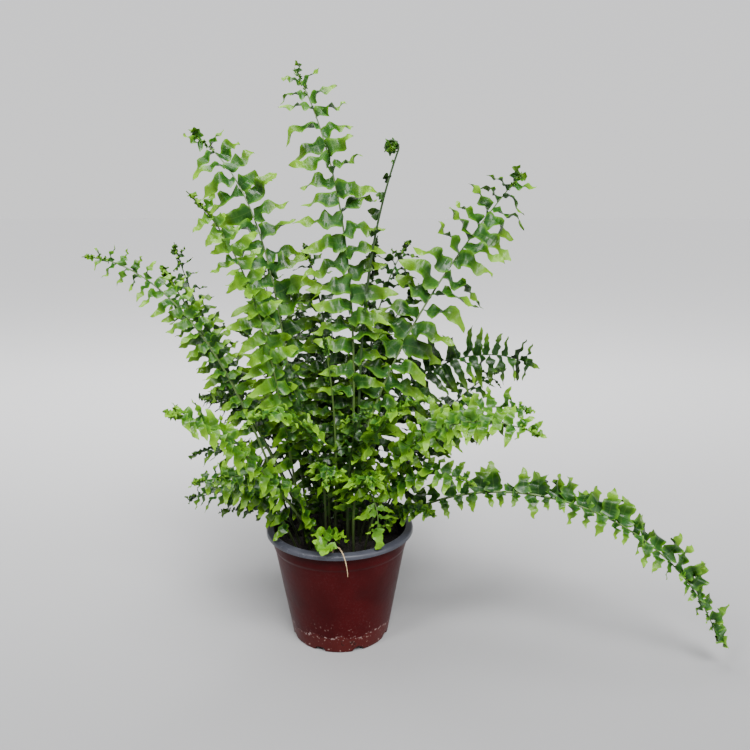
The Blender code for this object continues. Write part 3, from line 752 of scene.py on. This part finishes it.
def rest_on_pot(points):
    """Points lifted to lie on the peat inside the pot, and over its lip where they cross it."""
    radius = np.hypot(points[:, 0], points[:, 1])
    over_lip = np.clip((radius - LIP_FOOT) / LIP_CLIMB, 0, 1) * (radius < LIP_PAST)
    level = peat_height(np.minimum(radius, PEAT_SHORE)) + PEAT_CLEAR
    level = level + (POT_HEIGHT + LIP_CLEAR - level) * over_lip
    near = (radius < LIP_PAST) & (points[:, 2] > NEVER_LIFTED)
    points[:, 2] = np.where(near, np.maximum(points[:, 2], level), points[:, 2])
    return points


LEAF_GREENS = [  # by shade
    (0.0, (0.0020, 0.016, 0.0005)),
    (0.3, (0.0040, 0.037, 0.0004)),
    (0.6, (0.0185, 0.099, 0.0006)),
    (1.0, (0.1500, 0.370, 0.0030)),
]
PAINTED_FOOT_GLOSS = (0.050, 0.170, 0.040)
LEAF_MARGIN_AND_HIGHLIGHT = (0.200, 0.500, 0.009)
LEAF_TIP_AND_HIGHLIGHT = (0.310, 0.630, 0.022)
TIP_BROWN = (0.090, 0.045, 0.015)
MIDRIB = (0.110, 0.210, 0.030)
UNDERSIDE = (0.090, 0.200, 0.050)
VEIN = (0.004, 0.040, 0.001)
LIGHT_THROUGH = 0.26


def shade_and_run(tree):
    """A frond's shade, how far along a leaflet or stem a point is, and how far across or round it."""
    shade = tree.nodes.new("ShaderNodeAttribute")
    shade.attribute_name = "shade"
    run = tree.nodes.new("ShaderNodeUVMap")
    run.uv_map = "run"
    where = run.outputs["UV"]
    return shade.outputs["Fac"], part_of(tree, where, "X"), part_of(tree, where, "Y")


def leaf_look(name, under):
    """One side of the leaflets: dark to lime by shade, which on the back and collar fronds is partly
    painted shade; paler and bluer at the foot, a painted reflection of its gloss; paler to the
    margins and the tip, partly their own yellow-green and partly painted highlight; with a midrib,
    side veins and brown tips here and there. The upper side is glossy, the underside dull and
    paler, and some light comes through the blade."""
    made, tree, shader, where = nodes_for(name)
    shade, u, v = shade_and_run(tree)
    cloud = noise(tree, where, 90, 3)
    ramp = tree.nodes.new("ShaderNodeValToRGB")
    while len(ramp.color_ramp.elements) < len(LEAF_GREENS):
        ramp.color_ramp.elements.new(0.5)
    for element, (place, colour) in zip(ramp.color_ramp.elements, LEAF_GREENS):
        element.position = place
        element.color = (*colour, 1)
    tone = arithmetic(tree, "ADD", shade, band(tree, cloud, 0.3, 0.7, -0.14, 0.14))
    tree.links.new(tone, ramp.inputs["Fac"])
    colour = ramp.outputs["Color"]
    off_rib = arithmetic(tree, "ABSOLUTE", arithmetic(tree, "SUBTRACT", v, 0.5), 0.0)
    lit = band(tree, shade, 0.1, 0.5, 0.15, 1)
    # Painted reflection at the foot; margins and tips are own yellow-green plus painted highlight.
    colour = blend(tree, both(tree, band(tree, u, 0.45, 0.0, 0, 0.4), lit), colour, PAINTED_FOOT_GLOSS)
    colour = blend(tree, both(tree, band(tree, off_rib, 0.25, 0.5, 0, 0.5), lit), colour, LEAF_MARGIN_AND_HIGHLIGHT)
    colour = blend(tree, both(tree, band(tree, u, 0.35, 0.95, 0, 0.75), lit), colour, LEAF_TIP_AND_HIGHLIGHT)
    brown = both(tree, band(tree, u, 0.93, 0.99, 0, 0.8), band(tree, cloud, 0.45, 0.6))
    colour = blend(tree, brown, colour, TIP_BROWN)
    colour = blend(tree, band(tree, off_rib, 0.05, 0.0, 0, 0.35), colour, MIDRIB)
    if under:
        colour = blend(tree, band(tree, cloud, 0.0, 1.0, 0.2, 0.4), colour, UNDERSIDE)
    veins = tree.nodes.new("ShaderNodeTexWave")
    veins.inputs["Scale"].default_value = 3.2
    veins.inputs["Distortion"].default_value = 0.6
    slant = tree.nodes.new("ShaderNodeCombineXYZ")
    lean = arithmetic(tree, "ADD", both(tree, u, 1.7), both(tree, off_rib, -0.9))
    tree.links.new(lean, slant.inputs["X"])
    tree.links.new(slant.outputs["Vector"], veins.inputs["Vector"])
    colour = blend(tree, band(tree, veins.outputs["Fac"], 0.7, 1.0, 0, 0.3), colour, VEIN)
    tree.links.new(colour, shader.inputs["Base Color"])
    shader.inputs["Specular IOR Level"].default_value = 0.12 if under else 0.4
    rough = (0.50, 0.66) if under else (0.24, 0.38)
    tree.links.new(band(tree, cloud, 0.3, 0.7, *rough), shader.inputs["Roughness"])
    relief(tree, shader, noise(tree, where, 420, 2), 0.00010)
    glow = tree.nodes.new("ShaderNodeBsdfTranslucent")
    tree.links.new(colour, glow.inputs["Color"])
    mix = tree.nodes.new("ShaderNodeMixShader")
    mix.inputs["Fac"].default_value = LIGHT_THROUGH
    tree.links.new(shader.outputs["BSDF"], mix.inputs[1])
    tree.links.new(glow.outputs["BSDF"], mix.inputs[2])
    tree.links.new(mix.outputs["Shader"], tree.nodes["Material Output"].inputs["Surface"])
    return made


STEM_GREENS = ((0.008, 0.038, 0.004), (0.075, 0.140, 0.022))
STEM_FOOT_AND_SHADE = (0.012, 0.018, 0.004)
STEM_STREAK = (0.045, 0.055, 0.016)


def stem_look():
    """A stem: brown-green at the foot and darkened there by painted shade, pale green above, and
    darker on the darker fronds, partly painted shade.
    """
    made, tree, shader, where = nodes_for("fern stem")
    shade, along, _ = shade_and_run(tree)
    streak = noise(tree, where, 260, 3)
    colour = blend(tree, band(tree, shade, 0.05, 0.5), *STEM_GREENS)
    # Partly painted shade: the stem darkens to near black towards the peat, under the leaves.
    colour = blend(tree, band(tree, along, 0.34, 0.05, 0, 0.9), colour, STEM_FOOT_AND_SHADE)
    colour = blend(tree, band(tree, streak, 0.45, 0.75, 0, 0.3), colour, STEM_STREAK)
    tree.links.new(colour, shader.inputs["Base Color"])
    tree.links.new(band(tree, streak, 0.3, 0.7, 0.42, 0.6), shader.inputs["Roughness"])
    relief(tree, shader, noise(tree, where, 900, 3), 0.00012)
    return made


LEAF_LOOKS = [
    leaf_look("leaf upper side", under=False),
    leaf_look("leaf underside", under=True),
    stem_look(),
]
LAST_LEAFLET = 0.99  # share of the stem's length
SPACING = 0.94  # below 1, leaflets stand closer together towards the tip
SIZE_FROM = 0.24  # a leaflet's length follows the sine of pi times this to this plus the next
SIZE_OVER = 0.66
SIZE_POWER = 0.6
TIP_FROM = 0.93  # share of the stem where the cluster of rolled tip leaflets starts
TIP_LEAFLETS = 70  # in a frond that is rolled all over
TIP_LEAFLET = 3.6 * MM
COIL_LEAFLETS = 12
COIL_LEAFLET = 4.5 * MM
TIP_ROLLED = 0.8
ROLLED_SHORTER = 0.5
ROLLED_WIDER = 1.2
CREST_WIDER = 0.6
TILT_SPREAD = 0.2  # of a leaflet out of the blade's plane, in radians
FACE_SPREAD = 14  # degrees
SHADE_SPREAD = 0.07
SHADE_RISE = 0.12  # from a frond's foot to its tip
SHADE_LEVEL = 0.4  # share of the way up where a frond has its own shade
COIL_PALER = 0.3


def grow(frond, name, seed):
    """One frond as a piece of closed shells: its stem, leaflets left and right in turn, smaller ones
    that are still rolled up round its tip or along its coil, and a crest leaflet that ends it."""
    rng = np.random.default_rng(seed)
    line = frond_line(frond)
    points, faces, uv = stem_tube(line, frond.width * STEM_SHARE * MM, STEM_TAPER)
    count = 2 * frond.pairs
    place = (np.arange(count) + 0.5) / count
    share = frond.bare + (LAST_LEAFLET - frond.bare) * place**SPACING
    size = frond.reach * MM * np.sin(math.pi * (SIZE_FROM + SIZE_OVER * place)) ** SIZE_POWER
    size = size * rng.uniform(1 - frond.lobes, 1 + 0.8 * frond.lobes, count)
    size = size * np.where(np.arange(count) % 2 == 1, frond.lower, 1.0)
    rolled = np.clip((place - (1 - frond.rolled)) / (frond.rolled + 1e-6), 0, 1)
    size = size * (1 - ROLLED_SHORTER * rolled)
    if frond.coil:
        more, start, end, length = COIL_LEAFLETS, 1 + STEPS, STEPS + COIL_STEPS, COIL_LEAFLET
    else:
        more, length = round(TIP_LEAFLETS * frond.rolled), TIP_LEAFLET
        start, end = STEPS * TIP_FROM, STEPS
    crest = int(frond.crest > 0)
    tips = start + (end - start) * (np.arange(more) + 0.5) / max(more, 1)
    index = np.concatenate([1 + share * STEPS, tips, [STEPS - 0.5] * crest])
    size = np.concatenate([size, [length] * more, [frond.crest * frond.reach * MM] * crest])
    rolled = np.concatenate([rolled, [TIP_ROLLED] * more, [0.0] * crest])
    count += more + crest
    base, along, side, upper = (at(rows, index) for rows in line)
    hand = np.where(np.arange(count) % 2 == 1, 1.0, -1.0)[:, None]
    tilt = rng.normal(0, TILT_SPREAD, (count, 1))
    out = side * hand * np.cos(tilt) + upper * np.sin(tilt)
    face = upper * np.cos(tilt) - side * hand * np.sin(tilt)
    last = (np.arange(count) >= count - crest)[:, None]
    out = np.where(last, along, out)
    along, face = np.where(last, -side, along), np.where(last, upper, face)
    turned = np.radians(frond.face + rng.normal(0, FACE_SPREAD, (count, 1)))
    turned = np.where(last, 0, turned)
    cos, sin = np.cos(turned), np.sin(turned)
    along, face = along * cos - face * sin, face * cos + along * sin
    shade = frond.light + COIL_PALER * frond.coil * (rolled > 0.7)
    shade = shade + rng.normal(0, SHADE_SPREAD, count)
    shade = np.clip(shade + SHADE_RISE * (np.arange(count) / count - SHADE_LEVEL), 0, 1)
    slim = frond.slim * (1 + ROLLED_WIDER * rolled[:, None] + CREST_WIDER * last)
    blades, blade_faces, under, blade_uv, tone = leaflets(
        base, out, along, face, size, slim, rolled, frond.tight, frond.lobes, shade, rng
    )
    offset = len(points)
    return mesh_piece(
        name,
        np.vstack([points, rest_on_pot(blades)]),
        [*faces, *(blade_faces + offset).tolist()],
        LEAF_LOOKS,
        np.concatenate([np.full(len(faces), 2), under]),
        np.vstack([uv, blade_uv]),
        np.concatenate([np.full(offset, frond.light), tone]),
        sharp=75,
    )


for seed, frond in enumerate(FRONDS):
    piece = grow(frond, frond.name + "_leaf", seed)
    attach(piece, "root")
    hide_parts("frond_" + frond.name)


# ---- Runner --------------------------------------------------------------------------------------
# A thin runner with small dark leaflets, which leaves the peat at the left and lies out over the
# lip. It grows as a frond does.

RUNNER = Frond("runner", 168, 27, 174, 78, -20, 0.5, 0, 57,
               0, 0.35, 6, 5, 0.06, 0.75, 0.0, width=1.2)
piece = grow(RUNNER, "runner_stem", 91)
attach(piece, "root")
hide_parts("runner")


# ---- Dry stalk -----------------------------------------------------------------------------------
# A dead stalk, bleached to straw and bare, which has fallen forwards over the lip. Its foot is
# still in the peat.

STRAW = ((0.50, 0.38, 0.22), (0.26, 0.17, 0.09))


def straw_look():
    """Pale straw with darker streaks along it."""
    made, tree, shader, where = nodes_for("dry straw")
    streak = noise(tree, where, 400, 4)
    colour = blend(tree, band(tree, streak, 0.35, 0.7), *STRAW)
    tree.links.new(colour, shader.inputs["Base Color"])
    shader.inputs["Roughness"].default_value = 0.75
    relief(tree, shader, noise(tree, where, 1200, 3), 0.00015)
    return made


DRY_STALK = Frond("dry_stalk", 263, 30, 292, 72, -85, 1.3, 0, 40,
                  0, 0.90, 0, 0, width=1.0)
points, faces, uv = stem_tube(frond_line(DRY_STALK), DRY_STALK.width * MM, STEM_TAPER)
piece = mesh_piece("dry_stalk_straw", points, faces, [straw_look()], uv=uv)
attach(piece, "root")
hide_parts("dry_stalk")


# ---- Floor, lights and camera --------------------------------------------------------------------
# A plain floor that fades into a pale wall behind the plant, soft light from above, the front and
# the right, and a camera at the height of the upper leaves, tipped down.

# The floor's grey darkens towards the camera: painted shade.
FLOOR_GREYS = ((0.27, 0.27, 0.275), (0.80, 0.80, 0.81))
FLOOR_FADE = (-0.25, 0.8)  # from the first grey to the second, along Y


def floor_look():
    """Matt grey, paler towards the back: its darker front is painted shade."""
    made, tree, shader, where = nodes_for("pale floor")
    colour = blend(tree, band(tree, part_of(tree, where, "Y"), *FLOOR_FADE), *FLOOR_GREYS)
    tree.links.new(colour, shader.inputs["Base Color"])
    shader.inputs["Roughness"].default_value = 0.9
    return made


FLOOR_SIZE = 12.0
corner = np.array([[-1, -1, 0], [1, -1, 0], [1, 1, 0], [-1, 1, 0]]) * FLOOR_SIZE
floor = mesh_piece("floor", corner, [[0, 1, 2, 3]], [floor_look()])

# The wall behind the plant is pale and meets the floor in one grey. The other walls are darker and
# the ceiling darker still, so that the leaves keep their shadows.
BACK_WALL = ((1.04, 1.04, 1.05), (1.02, 1.02, 1.04))  # at the floor, and higher up
OTHER_WALLS = (0.36, 0.36, 0.37)
CEILING = (0.10, 0.10, 0.105)
world = bpy.data.worlds.new("soft room")
world.use_nodes = True
room = world.node_tree
aim = room.nodes.new("ShaderNodeTexCoord").outputs["Generated"]
up = part_of(room, aim, "Z")
wall = blend(room, band(room, up, 0.0, 0.25), *BACK_WALL)
wall = blend(room, band(room, part_of(room, aim, "Y"), 0.0, 0.6), OTHER_WALLS, wall)
wall = blend(room, band(room, up, 0.25, 0.4), wall, CEILING)
room.links.new(wall, room.nodes["Background"].inputs["Color"])
room.nodes["Background"].inputs["Strength"].default_value = 1.0
bpy.context.scene.world = world


def soft_light(name, place, aim, size, power):
    """A square area light at a place, turned to face a point."""
    lamp = bpy.data.lights.new(name, "AREA")
    lamp.size = size
    lamp.energy = power
    made = bpy.data.objects.new(name, lamp)
    bpy.context.scene.collection.objects.link(made)
    made.location = place
    made.rotation_euler = (made.location - aim).to_track_quat("Z", "Y").to_euler()


PLANT_MIDDLE = Vector((0, 0, 0.17))
soft_light("right fill", (1.1, -0.7, 0.5), PLANT_MIDDLE, size=0.6, power=6)
soft_light("top", (-0.2, 0.1, 1.1), PLANT_MIDDLE, size=0.7, power=14)
soft_light("window", (-0.5, -0.6, 0.9), PLANT_MIDDLE, size=0.3, power=8)
KEY_FROM = Vector((0.25, -0.75, 1.0))
KEY_POWER = 4.6
KEY_SOFTNESS = math.radians(32)
key = bpy.data.lights.new("key", "SUN")
key.energy = KEY_POWER
key.angle = KEY_SOFTNESS
key_light = bpy.data.objects.new("key", key)
key_light.rotation_euler = KEY_FROM.to_track_quat("Z", "Y").to_euler()
bpy.context.scene.collection.objects.link(key_light)

CAMERA_PLACE = (0.02172, -0.43236, 0.26465)
CAMERA_TIP = math.radians(77)  # from straight down
FOCAL_LENGTH = 36
lens = bpy.data.cameras.new("camera")
lens.lens = FOCAL_LENGTH
lens.sensor_width = 36
camera = bpy.data.objects.new("camera", lens)
camera.location = CAMERA_PLACE
camera.rotation_euler = (CAMERA_TIP, 0, 0)
bpy.context.scene.collection.objects.link(camera)
bpy.context.scene.camera = camera
